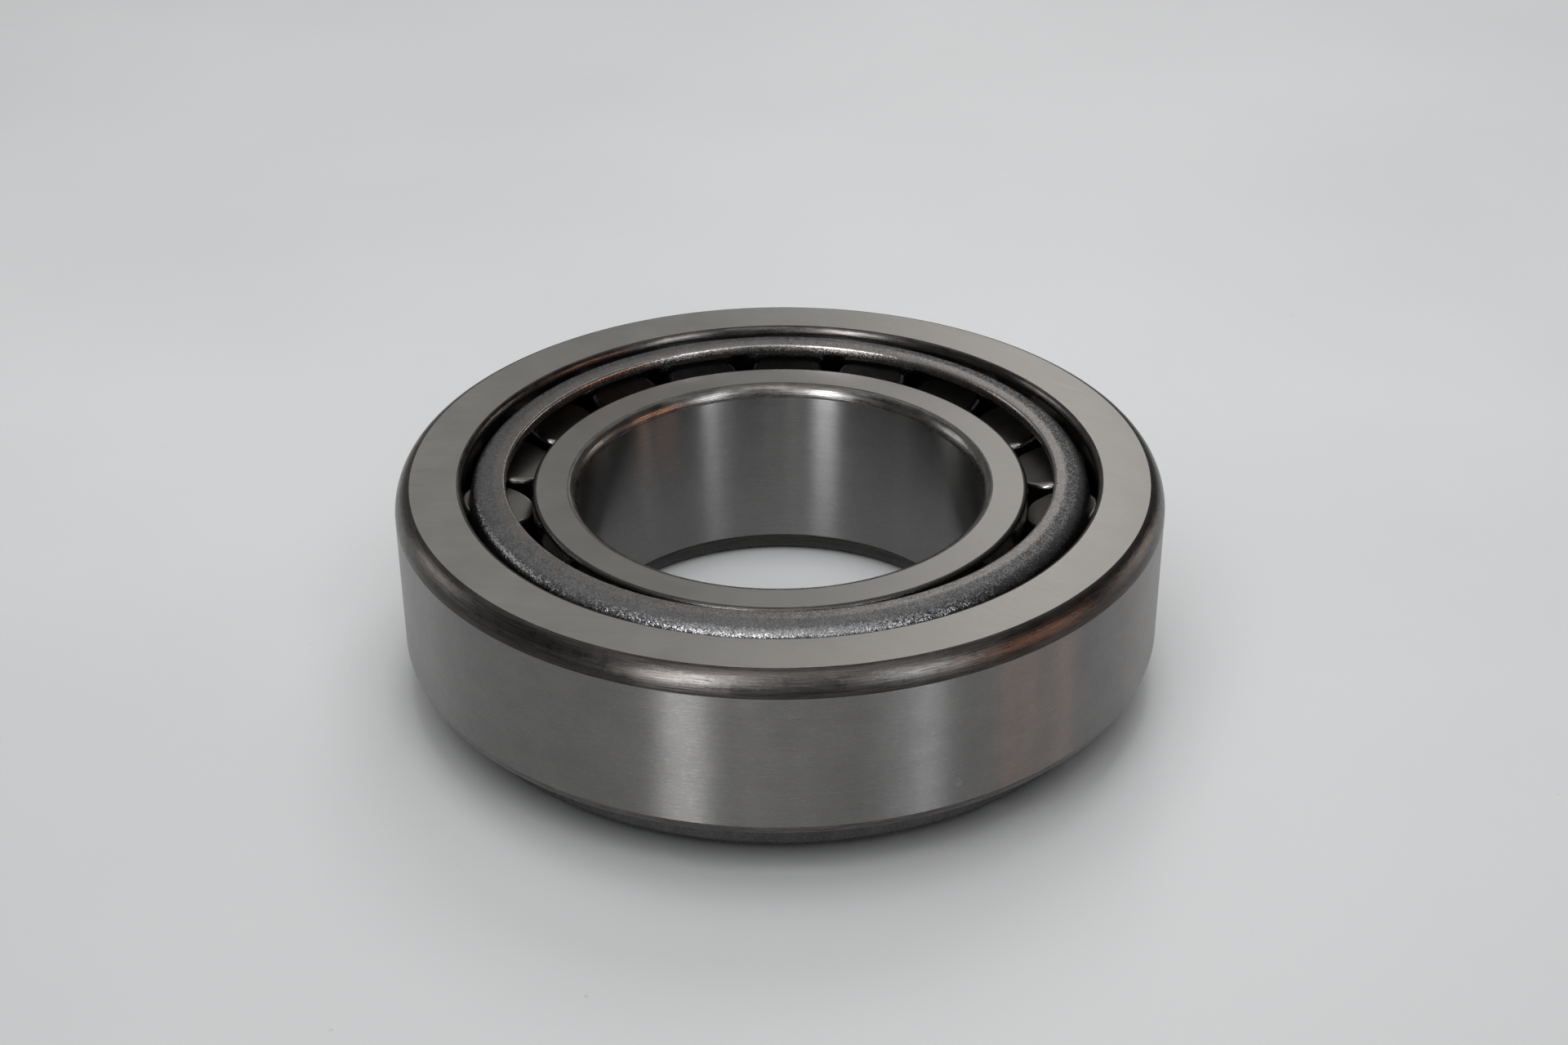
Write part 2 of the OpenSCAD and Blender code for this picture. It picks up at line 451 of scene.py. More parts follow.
def turned_steel(name, light, dark, stain, roughness, shade_below_z=(0.0, 1.0), shade_tone=0.58):
    """A turned and hardened corner left unground: dark, faintly stained, with fine tool marks round it.

    Painted shade darkens what lies below the two given heights, down to the given tone.
    """
    g = Graph(name)
    along = g.math("SUBTRACT", g.z, g.r)
    marks = g.noise(g.weighed((g.x, 0.09), (g.y, 0.09), (along, 6.0)), 1.0, 4.0, 0.7)
    fine = g.noise(g.weighed((g.x, 0.35), (g.y, 0.35), (along, 9.0)), 1.0, 2.0, 0.6)
    cloud = g.noise(g.mm, 0.16, 4.0, 0.6)
    blot = g.noise(g.mm, 0.5, 5.0, 0.65)
    pits = g.span(g.cells(g.mm, 1.1), 0.05, 0.13, 1.0, 0.0)
    tone = g.math("ADD", g.span(marks, 0.3, 0.7, 0.76, 1.2), g.span(fine, 0.3, 0.7, -0.34, 0.34))
    tone = g.math("MULTIPLY", tone, g.span(blot, 0.3, 0.7, 0.9, 1.08))
    tone = g.math("MULTIPLY", tone, g.math("SUBTRACT", 1.0, g.math("MULTIPLY", pits, 0.3)))
    base = g.mix(g.span(cloud, 0.38, 0.62), dark, light)
    base = g.mix(g.span(blot, 0.5, 0.68, 0.0, 0.55), base, stain)
    # Painted shade: darker below the given heights, with a ragged border
    edge = g.math("ADD", g.z, g.span(blot, 0.3, 0.7, -0.15, 0.15))
    tone = g.math("MULTIPLY", tone, g.span(edge, shade_below_z[0], shade_below_z[1], shade_tone, 1.0))
    rough = g.span(blot, 0.35, 0.65, roughness - 0.02, roughness + 0.05)
    rough = g.math("ADD", rough, g.span(marks, 0.3, 0.7, -0.03, 0.03))
    normal = g.bump(fine, 0.9, 0.022)
    normal = g.bump(marks, 0.6, 0.03, normal)
    g.grain_across()
    return g.finish(g.shade(base, tone), rough, normal, anisotropic=0.35)


def blasted_sheet(name, light, dark, roughness):
    """Shot-blasted sheet steel: a dense grain of tiny facets that glint one by one.

    Towards the rim, low under the cup, the drawn sheet is smooth and darkened with painted shade. The
    flange's inner edge is worn smoother and warmer, and the inside of the wall is darkened with painted
    shade.
    """
    g = Graph(name)
    facet = g.cells(g.mm, 6.4, "F1", "Color")
    small_facet = g.cells(g.mm, 11.0, "F1", "Color")
    crumbs = g.noise(g.mm, 7.5, 3.0, 0.7)
    cloud = g.noise(g.mm, 0.3, 3.0, 0.6)
    blasted_and_lit = g.span(g.z, 5.0, 11.0)
    worn = g.math("MULTIPLY", g.span(g.r, 31.5, 31.9, 1.0, 0.0), g.span(g.z, 22.9, 23.2))
    tone = g.span(crumbs, 0.3, 0.7, 0.86, 1.14)
    tone = g.math("MULTIPLY", tone, g.span(g.noise(facet, 3.0, 0.0), 0.3, 0.7, 0.86, 1.14))
    # Painted shade: the sheet is darkened towards its rim, low under the cup where shade falls
    tone = g.math("MULTIPLY", tone, g.span(blasted_and_lit, 0.0, 1.0, 0.28, 1.0))
    # Painted shade: the inside of the wall, facing the rollers, is darkened below the flange
    middle_r = g.math("MULTIPLY", g.math("SUBTRACT", APEX_Z, g.z), math.tan(TILT))
    middle_r = g.math("ADD", middle_r, (WALL_OFFSET + SHEET_T / 2) / math.cos(TILT))
    inside = g.span(g.math("SUBTRACT", middle_r, g.r), 0.0, 0.4)
    inside = g.math("MULTIPLY", inside, g.span(g.z, 22.6, 23.2, 1.0, 0.0))
    tone = g.math("MULTIPLY", tone, g.span(inside, 0.0, 1.0, 1.0, 0.2))
    colour = g.shade(g.mix(g.span(cloud, 0.35, 0.65), dark, light), tone)
    colour = g.mix(worn, colour, g.vector("MULTIPLY", colour, (1.34, 1.29, 1.22)))
    rough = g.span(crumbs, 0.35, 0.65, roughness - 0.04, roughness + 0.04)
    rough = g.math("ADD", rough, g.span(cloud, 0.3, 0.7, -0.02, 0.02))
    face_normal = g.tree.nodes.new("ShaderNodeNewGeometry").outputs["Normal"]
    tilt = g.vector("SUBTRACT", facet, (0.5, 0.5, 0.5))
    small_tilt = g.vector("SUBTRACT", small_facet, (0.5, 0.5, 0.5))
    tilt = g.vector("ADD", tilt, g.vector("SCALE", small_tilt, scale=0.6))
    lean = g.math("MULTIPLY", blasted_and_lit, g.span(worn, 0.0, 1.0, FACET_TILT, FACET_TILT * 0.35))
    tilt = g.vector("SCALE", tilt, scale=lean)
    normal = g.vector("NORMALIZE", g.vector("ADD", face_normal, tilt))
    normal = g.bump(crumbs, 0.4, 0.02, normal)
    return g.finish(colour, rough, normal)


def roller_finish(name, light, dark, roughness, anisotropic):
    """Honed roller steel. Lines run round the roller's own axis."""
    g = Graph(name)
    lines = g.noise(g.stretched(0.3, 0.3, 9.0), 1.0, 3.0, 0.6)
    cloud = g.noise(g.mm, 0.5, 3.0, 0.6)
    swirl = g.noise(g.weighed((g.r, 9.0), (g.x, 0.5), (g.y, 0.5)), 1.0, 2.0, 0.6)
    tone = g.math("MULTIPLY", g.span(lines, 0.3, 0.7, 0.92, 1.06), g.span(swirl, 0.3, 0.7, 0.94, 1.06))
    colour = g.shade(g.mix(g.span(cloud, 0.35, 0.65), dark, light), tone)
    rough = g.span(g.math("ADD", lines, swirl), 0.6, 1.4, roughness - 0.03, roughness + 0.05)
    normal = g.bump(lines, 0.2, 0.003)
    normal = g.bump(swirl, 0.2, 0.003, normal)
    g.grain_across()
    return g.finish(colour, rough, normal, anisotropic=anisotropic)


def table_top(name):
    """A pale painted table: faint cloudiness, a little dust, very slight unevenness, and painted shade
    darkening it towards the camera.
    """
    g = Graph(name)
    cloud = g.noise(g.mm, 0.012, 4.0, 0.5)
    dust = g.math(
        "MULTIPLY",
        g.span(g.cells(g.mm, 0.11), 0.018, 0.035, 1.0, 0.0),
        g.span(g.noise(g.mm, 0.6), 0.5, 0.62),
    )
    tone = g.math("SUBTRACT", g.span(cloud, 0.3, 0.7, 0.975, 1.02), g.math("MULTIPLY", dust, 0.12))
    # Painted shade: the table is darkened towards the camera, standing in for the light falling off there
    tone = g.math("MULTIPLY", tone, g.span(g.y, -90.0, 60.0, 0.86, 1.0))
    paint = g.mix(g.span(g.noise(g.mm, 0.004), 0.3, 0.7), (0.720, 0.728, 0.738), (0.750, 0.756, 0.762))
    colour = g.shade(paint, tone)
    normal = g.bump(g.noise(g.mm, 0.7, 4.0, 0.6), 0.15, 0.03)
    return g.finish(colour, g.span(cloud, 0.3, 0.7, 0.42, 0.50), normal, metallic=0.0)


FACE = ground_face("ground_face", (0.555, 0.542, 0.52), (0.53, 0.517, 0.496), 0.34)
CONE_FACE = ground_face("ground_cone_face", (0.44, 0.43, 0.415), (0.42, 0.41, 0.396), 0.32)
OUTSIDE = ground_round("ground_outside", (0.218, 0.213, 0.208), (0.196, 0.191, 0.187), 0.265)
BORE = ground_round("ground_bore", (0.212, 0.208, 0.204), (0.192, 0.189, 0.186), 0.285, dings=0.3)
RACEWAY = ground_round("honed_raceway", (0.36, 0.352, 0.34), (0.32, 0.312, 0.30), 0.22, dings=0.2)
# Painted shade on the cup's outer corner below its top, and darker still on the bore's corner near the
# floor
CORNER = turned_steel(
    "turned_corner", (0.112, 0.105, 0.10), (0.09, 0.084, 0.08), (0.074, 0.063, 0.056), 0.27,
    shade_below_z=(CUP_BACK_Z - 1.75, CUP_BACK_Z - 1.15))
EDGE = turned_steel("turned_edge", (0.125, 0.12, 0.115), (0.105, 0.10, 0.096), (0.085, 0.078, 0.073), 0.25)
BORE_CORNER = turned_steel(
    "turned_bore_corner", (0.215, 0.208, 0.20), (0.19, 0.183, 0.176), (0.165, 0.156, 0.147), 0.27,
    shade_below_z=(3.0, 8.0), shade_tone=0.25)
SHEET = blasted_sheet("blasted_sheet", (0.275, 0.273, 0.28), (0.24, 0.238, 0.245), 0.28)
# Painted shade: both roller finishes are darkened, the ends most, for the shade inside the bearing
ROLLING = roller_finish("roller_honed", (0.27, 0.262, 0.252), (0.235, 0.228, 0.22), 0.2, 0.5)
ROLLER_END = roller_finish("roller_end", (0.165, 0.158, 0.147), (0.142, 0.136, 0.127), 0.33, 0.0)


# ---------------------------------------------------------------- rings

# Each ring's material slots
FLAT_SLOT, ROUND_SLOT, CORNER_SLOT, RACE_SLOT, EDGE_SLOT, BORE_CORNER_SLOT = range(6)


def cup_corners():
    """The cup's four corner roundings, in the order in which its section runs."""
    back_round = (1.7, 2.55)
    front_round = (0.65, 1.1)
    inner_back = (0.6, 1.0)
    inner_front = (0.5, 0.6)
    front_z = CUP_FRONT_Z + inner_front[1]
    back_z = CUP_BACK_Z - inner_back[1]
    front_r = cup_r(CUP_FRONT_Z) + inner_front[0]
    back_r = cup_r(back_z) + inner_back[0]
    low_inner = arc((front_r, front_z), (front_r - cup_r(front_z), inner_front[1]), 180, 270)
    low_outer = turned_corner(
        (OUTER_R - front_round[0], CUP_FRONT_Z), (OUTER_R, CUP_FRONT_Z + front_round[1]), -90)
    high_outer = turned_corner(
        (OUTER_R, CUP_BACK_Z - back_round[1]), (OUTER_R - back_round[0], CUP_BACK_Z), 0)
    high_inner = arc((back_r, back_z), inner_back, 90, 180)
    return [low_inner, low_outer, high_outer, high_inner]


def cup_zones():
    """The cup's section as zones, from the lower edge of its raceway outwards and back."""
    low_inner, low_outer, high_outer, high_inner = cup_corners()
    return [
        (low_inner, CORNER_SLOT),
        (line(low_inner[-1], low_outer[0], 3)[:-1], FLAT_SLOT),
        (low_outer, EDGE_SLOT),
        (line(low_outer[-1], high_outer[0], 6), ROUND_SLOT),
        (high_outer, CORNER_SLOT),
        (line(high_outer[-1], high_inner[0], 4)[:-1], FLAT_SLOT),
        (high_inner, CORNER_SLOT),
        (line(high_inner[-1], low_inner[0], 8), RACE_SLOT),
    ]


def cone_zones():
    """The cone's section as zones, from its bore's lower corner outwards and back."""
    back_round = (1.9, 2.6)
    front_round = (1.15, 1.5)
    shoulder_round = 0.12
    large_rib_s = LARGE_S + LARGE_END_GAP
    small_rib_s = SMALL_S - SMALL_END_GAP
    large_relief_s = large_rib_s - RELIEF_L
    small_relief_s = small_rib_s + RELIEF_L

    def raceway(s, depth):
        return on_roller(s, -roller_r(s) - depth)

    bore_low = arc((BORE_R + back_round[0], back_round[1]), back_round, 180, 270)
    rib_low = arc((LARGE_RIB_R - RIB_EDGE, RIB_EDGE), (RIB_EDGE, RIB_EDGE), 270, 360, 6)
    rib_top = on_roller(large_rib_s, offset_at(large_rib_s, LARGE_RIB_R))
    large_side = [
        rib_low[-1],
        (rib_top[0], rib_top[1] - RIB_EDGE / 2),
        on_roller(large_rib_s, offset_at(large_rib_s, LARGE_RIB_R - RIB_EDGE / 2)),
        raceway(large_rib_s, RELIEF_DEPTH),
        raceway(large_relief_s, RELIEF_DEPTH),
        raceway(large_relief_s - RELIEF_DEPTH, 0),
    ]
    small_rib_side = on_roller(small_rib_s, offset_at(small_rib_s, SMALL_RIB_R))
    small_side = [
        raceway(small_relief_s + RELIEF_DEPTH, 0),
        raceway(small_relief_s, RELIEF_DEPTH),
        raceway(small_rib_s, RELIEF_DEPTH),
        small_rib_side,
        (SMALL_RIB_R, CONE_FRONT_Z - RIB_EDGE),
    ]
    rib_high = arc((SMALL_RIB_R - RIB_EDGE, CONE_FRONT_Z - RIB_EDGE), (RIB_EDGE, RIB_EDGE), 0, 90, 6)
    bore_high = arc((BORE_R + front_round[0], CONE_FRONT_Z - front_round[1]), front_round, 90, 180)
    return [
        (bore_low, BORE_CORNER_SLOT),
        (line(bore_low[-1], rib_low[0], 4)[:-1], FLAT_SLOT),
        (rib_low, CORNER_SLOT),
        (rounded(large_side, shoulder_round), EDGE_SLOT),
        (line(large_side[-1], small_side[0], 8), RACE_SLOT),
        (rounded(small_side, shoulder_round), EDGE_SLOT),
        (rib_high, CORNER_SLOT),
        (line(rib_high[-1], bore_high[0], 4)[:-1], FLAT_SLOT),
        (bore_high, BORE_CORNER_SLOT),
        (line(bore_high[-1], bore_low[0], 8), ROUND_SLOT),
    ]


def make_ring(name, node, zones, materials):
    bm = bmesh.new()
    add_lathe(bm, zones, RING_SEGMENTS, closed=True)
    ring = mesh_object(name, bm, materials, RING_SHARP)
    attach(ring, node)
    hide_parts(node)


make_ring("cup_ring", "cup", cup_zones(), [FACE, OUTSIDE, CORNER, RACEWAY, EDGE])
make_ring("cone_ring", "cone", cone_zones(), [CONE_FACE, BORE, EDGE, RACEWAY, EDGE, BORE_CORNER])


# ---------------------------------------------------------------- cage

EDGE_ROUND = 0.18
EDGE_STEPS = 4
CORNER_STEPS = 8
END_STEPS = 8
SIDE_STEPS = 24
SECTOR_STEPS = END_STEPS + CORNER_STEPS
WALL_OUT = WALL_OFFSET + SHEET_T
LIP_ROUND = 0.36
LIP_STEPS = 6

# How far the pocketed part of the wall reaches past a pocket's ends
WALL_BELOW_POCKET = 1.1
WALL_ABOVE_POCKET = 0.75


def pocket_outline(offset):
    """One pocket's outline, (y, s) points, with the opening widened by offset."""

    def half_width(s):
        return math.sqrt(roller_r(s) ** 2 - WALL_OFFSET ** 2) + POCKET_SIDE_GAP

    top = ROLLER_L / 2 + POCKET_END_GAP - POCKET_CORNER
    wide = half_width(LARGE_S) - POCKET_CORNER
    narrow = half_width(SMALL_S) - POCKET_CORNER
    radii = (POCKET_CORNER + offset, POCKET_CORNER + offset)
    low_right = arc((wide, -top), radii, 270, 360, CORNER_STEPS)
    high_right = arc((narrow, top), radii, 0, 90, CORNER_STEPS)
    high_left = arc((-narrow, top), radii, 90, 180, CORNER_STEPS)
    low_left = arc((-wide, -top), radii, 180, 270, CORNER_STEPS)
    points = (
        low_right + split_line(low_right[-1], high_right[0], SIDE_STEPS)
        + high_right + split_line(high_right[-1], high_left[0], END_STEPS)
        + high_left + split_line(high_left[-1], low_left[0], SIDE_STEPS)
        + low_left + split_line(low_left[-1], low_right[0], END_STEPS)
    )
    return [(y, MID_S - along) for y, along in points]


def sector_outline(s_low, s_high):
    """The sector's own outline, (angle, s) points, one for each point of a pocket's outline."""
    half = PITCH / 2
    corner = CORNER_STEPS // 2
    side = SIDE_STEPS + CORNER_STEPS
    points = []
    for i in range(side):
        points.append((half, s_low + (s_high - s_low) * i / side))
    for i in range(SECTOR_STEPS):
        points.append((half - PITCH * i / SECTOR_STEPS, s_high))
    for i in range(side):
        points.append((-half, s_high + (s_low - s_high) * i / side))
    for i in range(SECTOR_STEPS):
        points.append((-half + PITCH * i / SECTOR_STEPS, s_low))
    return points[-corner:] + points[:-corner]


def cage_point(s, t, angle):
    """The point in metres at distance s and offset t, in the half-plane at angle."""
    r, z = on_roller(s, t)
    return Vector((r * math.cos(angle), r * math.sin(angle), z)) * MM


def add_pocket_sector(bm, middle, s_low, s_high):
    """The cage's wall round one pocket: outer face, rounded pocket edge, and inner face."""
    spread = [0.12, 0.3, 0.55, 0.8, 1.0]
    frame_points = sector_outline(s_low, s_high)
    turns = [math.radians(90 * i / EDGE_STEPS) for i in range(EDGE_STEPS + 1)]
    edge = []
    for turn in turns:
        edge.append((EDGE_ROUND * (1 - math.sin(turn)), WALL_OUT - EDGE_ROUND * (1 - math.cos(turn))))
    for turn in reversed(turns):
        edge.append((EDGE_ROUND * (1 - math.sin(turn)), WALL_OFFSET + EDGE_ROUND * (1 - math.cos(turn))))

    def hole_ring(offset, t):
        ring = []
        for y, s in pocket_outline(offset):
            r = on_roller(s, t)[0]
            ring.append((math.asin(y / r), s))
        return ring

    def between(hole, share):
        """A loop part of the way from the hole to the sector's outline."""
        return [
            (h[0] + (f[0] - h[0]) * share, h[1] + (f[1] - h[1]) * share)
            for h, f in zip(hole, frame_points)
        ]

    outer_hole = hole_ring(*edge[0])
    inner_hole = hole_ring(*edge[-1])
    loops = [(between(outer_hole, share), WALL_OUT) for share in reversed(spread)]
    loops += [(hole_ring(offset, t), t) for offset, t in edge]
    loops += [(between(inner_hole, share), WALL_OFFSET) for share in spread]
    rings = [
        [bm.verts.new(cage_point(s, t, middle + angle)) for angle, s in loop]
        for loop, t in loops
    ]
    count = len(frame_points)
    for here, there in zip(rings, rings[1:]):
        for i in range(count):
            j = (i + 1) % count
            bm.faces.new((here[i], here[j], there[j], there[i]))


def cage_runs(s_low, s_high):
    """The two turned runs of the cage's section: round the rim, and round the bend and flange.

    The flange slopes up from the bend to a crease, and is flat inside it.
    """
    rim_s = (APEX_Z - CAGE_RIM_Z + WALL_OFFSET * math.sin(TILT)) / math.cos(TILT)
    rim = rounded([
        on_roller(s_low, WALL_OUT),
        on_roller(rim_s, WALL_OUT),
        on_roller(rim_s, WALL_OFFSET),
        on_roller(s_low, WALL_OFFSET),
    ], LIP_ROUND, LIP_STEPS)
    crease_r = FLANGE_INNER_R + FLANGE_FLAT
    under_crease_r = crease_r - SHEET_T * math.tan(FLANGE_SLOPE / 2)
    centre_offset = WALL_OUT - BEND_R
    bend_z = CAGE_TOP_Z - BEND_R / math.cos(FLANGE_SLOPE)
    slope_drop = (centre_offset * math.cos(TILT) - crease_r) * math.tan(FLANGE_SLOPE)
    bend_s = APEX_Z - bend_z + centre_offset * math.sin(TILT) + slope_drop
    bend_s /= math.cos(TILT) - math.sin(TILT) * math.tan(FLANGE_SLOPE)
    centre = on_roller(bend_s, centre_offset)
    low_angle = math.degrees(TILT)
    high_angle = 90 - math.degrees(FLANGE_SLOPE)
    inner_bend_r = BEND_R - SHEET_T
    outside = arc(centre, (BEND_R, BEND_R), low_angle, high_angle, 14)
    inside = arc(centre, (inner_bend_r, inner_bend_r), high_angle, low_angle, 8)
    lip = rounded([
        outside[-1],
        (crease_r, CAGE_TOP_Z),
        (FLANGE_INNER_R, CAGE_TOP_Z),
        (FLANGE_INNER_R, CAGE_TOP_Z - SHEET_T),
        (under_crease_r, CAGE_TOP_Z - SHEET_T),
        inside[0],
    ], LIP_ROUND, LIP_STEPS)
    wall_top_out = on_roller(s_high, WALL_OUT)
    wall_top_in = on_roller(s_high, WALL_OFFSET)
    return rim, [wall_top_out] + outside[:-1] + lip + inside[1:] + [wall_top_in]


def add_turned_run(bm, run, first_angle):
    segments = ROLLER_COUNT * SECTOR_STEPS
    rings = []
    for r, z in run:
        ring = []
        for i in range(segments):
            angle = first_angle + 2 * math.pi * i / segments
            ring.append(bm.verts.new(Vector((r * math.cos(angle), r * math.sin(angle), z)) * MM))
        rings.append(ring)
    for here, there in zip(rings, rings[1:]):
        for i in range(segments):
            j = (i + 1) % segments
            bm.faces.new((here[i], here[j], there[j], there[i]))


def make_cage():
    first = Vector(joints["roller_01_spin"]["pos_m"])
    first_angle = math.atan2(first.y, first.x)
    s_low = LARGE_S + POCKET_END_GAP + WALL_BELOW_POCKET
    s_high = SMALL_S - POCKET_END_GAP - WALL_ABOVE_POCKET
    bm = bmesh.new()
    for i in range(ROLLER_COUNT):
        add_pocket_sector(bm, first_angle + i * PITCH, s_low, s_high)
    for run in cage_runs(s_low, s_high):
        add_turned_run(bm, run, first_angle + PITCH / 2)
    cage = mesh_object("cage_sheet", bm, [SHEET], CAGE_SHARP)
    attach(cage, "cage")
    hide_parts("cage")


make_cage()


# ---------------------------------------------------------------- rollers

# A roller's material slots
SIDE_SLOT, END_SLOT = range(2)


def roller_zones():
    """One roller's section, about its own axis, with the large end down."""
    thin = RACEWAY_GAP / math.cos(HALF_ANGLE)
    large = roller_r(LARGE_S) - thin
    small = roller_r(SMALL_S) - thin
    half = ROLLER_L / 2
    radii = (ROLLER_CORNER, ROLLER_CORNER)
    low = arc((large - ROLLER_CORNER, ROLLER_CORNER - half), radii, 270, 360, 12)
    high = arc((small - ROLLER_CORNER, half - ROLLER_CORNER), radii, 0, 90, 12)
    return [
        (line((0, -half), low[0], 5)[:-1], END_SLOT),
        (low, SIDE_SLOT),
        (line(low[-1], high[0], 10), SIDE_SLOT),
        (high, SIDE_SLOT),
        (line(high[-1], (0, half), 5), END_SLOT),
    ]


def make_rollers():
    """Puts one shared mesh on each roller's joint, with its own axis along the joint's."""
    bm = bmesh.new()
    add_lathe(bm, roller_zones(), ROLLER_SEGMENTS, closed=False)
    first = mesh_object("roller_shape", bm, [ROLLING, ROLLER_END], ROLLER_SHARP)
    shape = first.data
    bpy.data.objects.remove(first)
    for i in range(1, ROLLER_COUNT + 1):
        name = f"roller_{i:02d}"
        joint = joints[name + "_spin"]
        up = Vector(joint["axis"]).normalized()
        out = Vector(joint["pos_m"])
        out.z = 0
        along = up.cross(out).normalized()
        out = along.cross(up)
        turn = Matrix((out, along, up)).transposed().to_4x4()
        piece = bpy.data.objects.new(name + "_steel", shape)
        bpy.context.scene.collection.objects.link(piece)
        piece.matrix_world = Matrix.Translation(joint["pos_m"]) @ turn
        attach(piece, name)
        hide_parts(name)


make_rollers()


# ---------------------------------------------------------------- floor, light and camera

WARM_WHITE = (1.0, 0.99, 0.975)
CREAM = (1.0, 0.985, 0.96)
SOFT_WHITE = (1.0, 0.99, 0.98)
COOL_WHITE = (0.985, 0.99, 1.0)
BLUE_WHITE = (0.94, 0.97, 1.0)
WHITE = (1.0, 1.0, 1.0)
ORANGE = (1.0, 0.44, 0.25)


def make_floor():
    half_width_m = 3.0
    bm = bmesh.new()
    bmesh.ops.create_grid(bm, x_segments=4, y_segments=4, size=half_width_m)
    floor = mesh_object("floor", bm, [table_top("table_top")], FLOOR_SHARP)
    floor.location.z = cad_low.z
    return floor


def make_panel(name, azimuth, elevation, distance, width, height, radiance, colour):
    """A soft rectangular light, aimed at the object.

    Azimuth 0 is the camera's side, and it grows towards +X. Angles are in degrees and lengths in metres.
    """
    light = bpy.data.lights.new(name, "AREA")
    light.shape = "RECTANGLE"
    light.size = width
    light.size_y = height
    light.energy = radiance * math.pi * width * height
    light.color = colour
    lamp = bpy.data.objects.new(name, light)
    bpy.context.scene.collection.objects.link(lamp)
    a = math.radians(azimuth)
    e = math.radians(elevation)
    away = Vector((math.sin(a) * math.cos(e), -math.cos(a) * math.cos(e), math.sin(e)))
    lamp.location = (cad_low + cad_high) / 2 + away * distance
    lamp.rotation_mode = "QUATERNION"
    lamp.rotation_quaternion = away.to_track_quat("Z", "Y")
    lamp.visible_camera = False
    return lamp


def light_only(lamps, name, lit, blocking):
    """Keeps lamps to the lit objects, with shadows from the blocking ones."""
    receivers = bpy.data.collections.new(name)
    blockers = bpy.data.collections.new(name + "_shadow")
    for obj in lit:
        receivers.objects.link(obj)
    for obj in blocking:
        blockers.objects.link(obj)
    for lamp in lamps:
        lamp.light_linking.receiver_collection = receivers
        lamp.light_linking.blocker_collection = blockers


def make_world():
    """Dim grey surroundings, brightest high up at the back left."""
    world = bpy.data.worlds.new("studio")
    bpy.context.scene.world = world
    world.use_nodes = True
    tree = world.node_tree
    tree.nodes.clear()
    output = tree.nodes.new("ShaderNodeOutputWorld")
    background = tree.nodes.new("ShaderNodeBackground")
    tree.links.new(background.outputs[0], output.inputs[0])
    direction = tree.nodes.new("ShaderNodeTexCoord").outputs["Generated"]
    lean = tree.nodes.new("ShaderNodeVectorMath")
    lean.operation = "DOT_PRODUCT"
    tree.links.new(direction, lean.inputs[0])
    lean.inputs[1].default_value = (-0.36, 0.80, 0.48)
    ramp = tree.nodes.new("ShaderNodeValToRGB")
    share = tree.nodes.new("ShaderNodeMapRange")
    share.inputs["From Min"].default_value = -1.0
    tree.links.new(lean.outputs["Value"], share.inputs["Value"])
    tree.links.new(share.outputs[0], ramp.inputs[0])
    stops = [
        (0.0, (0.035, 0.035, 0.037)),
        (0.55, (0.05, 0.05, 0.052)),
        (0.80, (0.10, 0.098, 0.095)),
        (1.0, (0.25, 0.246, 0.241)),
    ]
    ramp.color_ramp.elements[0].color = (*stops[0][1], 1)
    ramp.color_ramp.elements[1].color = (*stops[-1][1], 1)
    for place, colour in stops[1:-1]:
        ramp.color_ramp.elements.new(place).color = (*colour, 1)
    tree.links.new(ramp.outputs[0], background.inputs["Color"])
    background.inputs["Strength"].default_value = 1.0


def make_camera():
    """The camera at the viewing angle fitted to the rings' edges. Pitch is downwards."""
    place = (0.0, -0.23839, 0.15571)
    yaw = math.radians(0.105)
    pitch = math.radians(30.139)
    roll = math.radians(-0.286)
    forward = Vector((math.sin(yaw) * math.cos(pitch), math.cos(yaw) * math.cos(pitch), -math.sin(pitch)))
    right = forward.cross(Vector((0, 0, 1))).normalized()
    up = right.cross(forward)
    turned_right = right * math.cos(roll) + up * math.sin(roll)
    turned_up = up * math.cos(roll) - right * math.sin(roll)
    camera_data = bpy.data.cameras.new("camera")
    camera_data.sensor_width = 36.0
    camera_data.lens = 56.31
    camera_data.clip_start = 0.01
    camera_data.clip_end = 20.0
    camera = bpy.data.objects.new("camera", camera_data)
    bpy.context.scene.collection.objects.link(camera)
    turn = Matrix((turned_right, turned_up, -forward)).transposed().to_4x4()
    camera.matrix_world = Matrix.Translation(place) @ turn
    bpy.context.scene.camera = camera


floor = make_floor()
make_world()
make_camera()

# Each row gives azimuth, elevation, distance, width, height, radiance and colour. These light everything
make_panel("ceiling", 0, 76, 1.0, 1.2, 0.95, 0.70, WARM_WHITE)
make_panel("ceiling_back", 180, 56, 1.0, 1.0, 0.4, 0.34, WARM_WHITE)
make_panel("back_wall", 171.5, 30, 1.5, 0.20, 0.7, 0.95, CREAM)

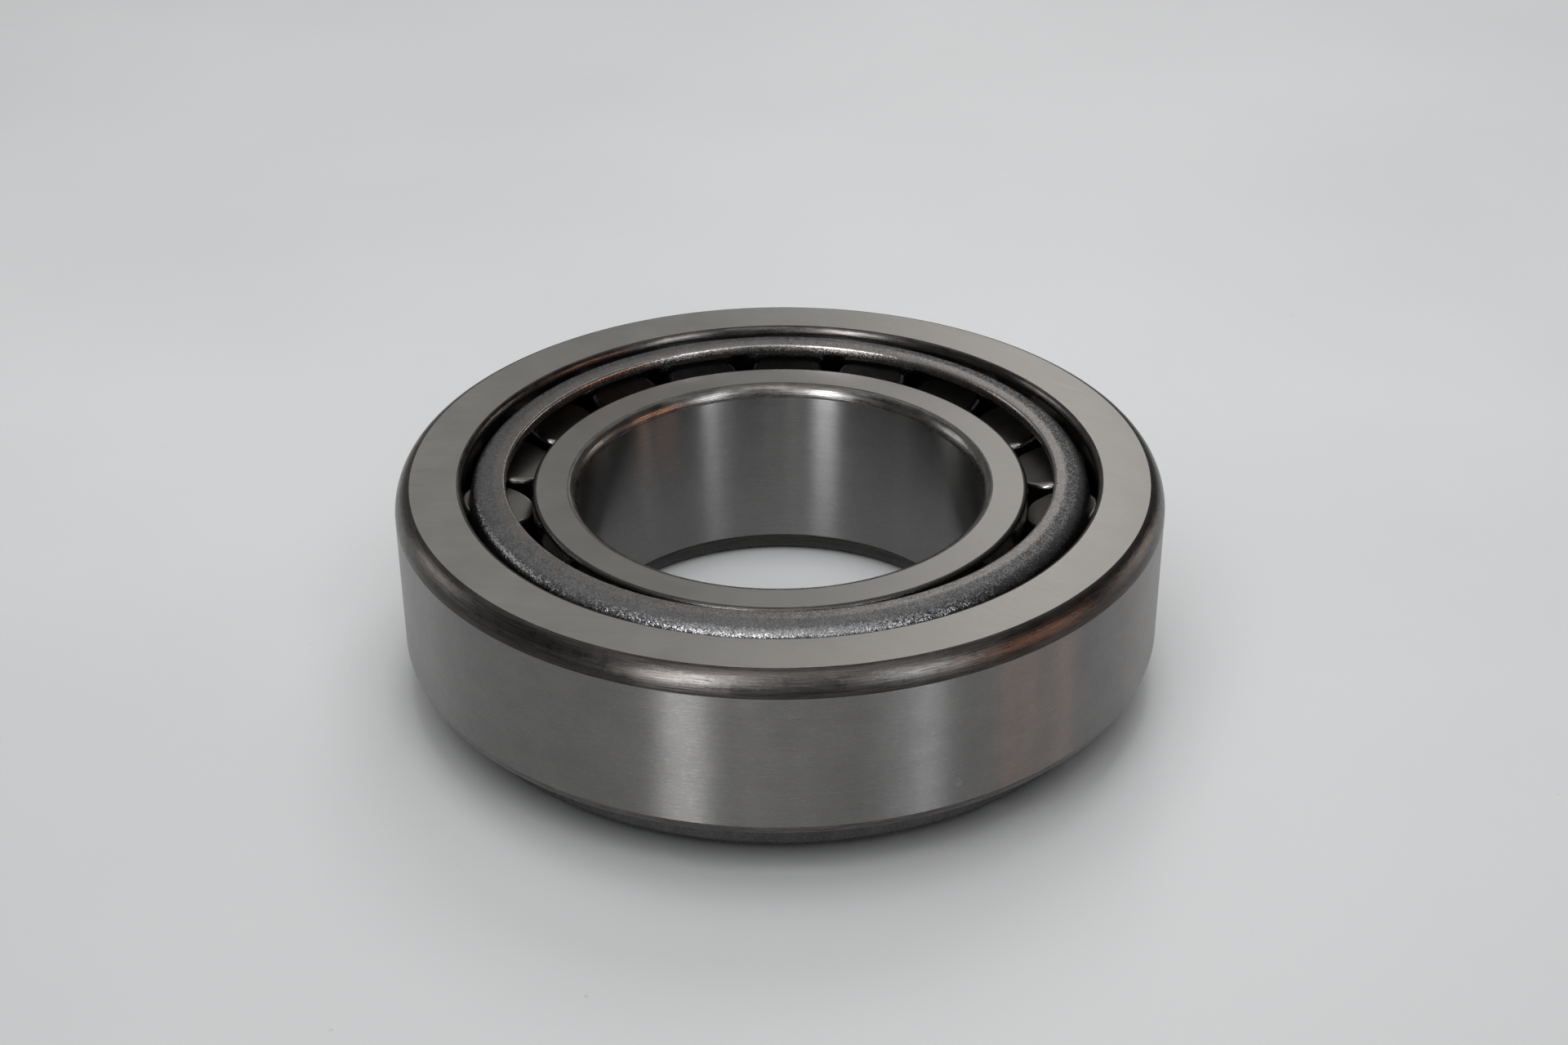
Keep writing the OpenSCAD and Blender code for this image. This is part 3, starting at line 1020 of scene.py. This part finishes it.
# These light only the table, and those after them only the bearing
table_lights = [
    make_panel("table_left", 225, 76, 0.45, 0.08, 0.12, 3.8, SOFT_WHITE),
    make_panel("table_right", 134, 74, 0.45, 0.07, 0.09, 2.4, (0.98, 0.99, 1.0)),
    make_panel("table_back", 165, 52, 0.57, 0.30, 0.25, 2.4, COOL_WHITE),
    make_panel("table_front", 0, 55, 1.0, 1.2, 0.8, 1.48, COOL_WHITE),
    make_panel("table_top", 180, 87, 1.0, 0.2, 0.2, 9.6, COOL_WHITE),
]
metal_lights = [
    make_panel("left_strip", -26.5, 23, 2.5, 0.50, 1.85, 15.5, (0.97, 0.98, 1.0)),
    make_panel("right_strip", 40, 22, 2.5, 0.34, 1.75, 10.5, BLUE_WHITE),
    make_panel("right_glow", 31, 19, 2.5, 0.36, 1.5, 1.6, BLUE_WHITE),
    make_panel("slit_left", -8, 24, 2.5, 0.05, 1.95, 8.0, WHITE),
    make_panel("slit_middle", -2.4, 24, 2.5, 0.04, 1.95, 4.0, WHITE),
    make_panel("slit_right", 5.6, 24, 2.5, 0.04, 1.95, 4.0, WHITE),
    make_panel("warm_first", 63, 9, 2.0, 0.05, 0.5, 15.0, ORANGE),
    make_panel("warm_second", 70, 9, 2.0, 0.05, 0.5, 15.0, ORANGE),
    make_panel("warm_third", 82, 9, 2.0, 0.14, 0.5, 9.0, (1.0, 0.52, 0.33)),
    make_panel("side_left", -112, 16, 1.5, 0.5, 0.6, 2.2, WHITE),
    make_panel("side_right", 118, 5, 1.5, 0.5, 0.20, 4.2, (1.0, 0.88, 0.80)),
    make_panel("front_glow", 6, 58, 1.5, 0.5, 0.5, 1.2, SOFT_WHITE),
    make_panel("front_left", -30, 66, 1.5, 0.24, 0.3, 2.2, SOFT_WHITE),
]
metal = [obj for obj in bpy.context.scene.objects if obj.type == "MESH" and obj != floor]
light_only(table_lights, "lit_table", [floor], [floor] + metal)
light_only(metal_lights, "lit_metal", metal, [floor] + metal)
bpy.context.scene.view_settings.view_transform = "Standard"
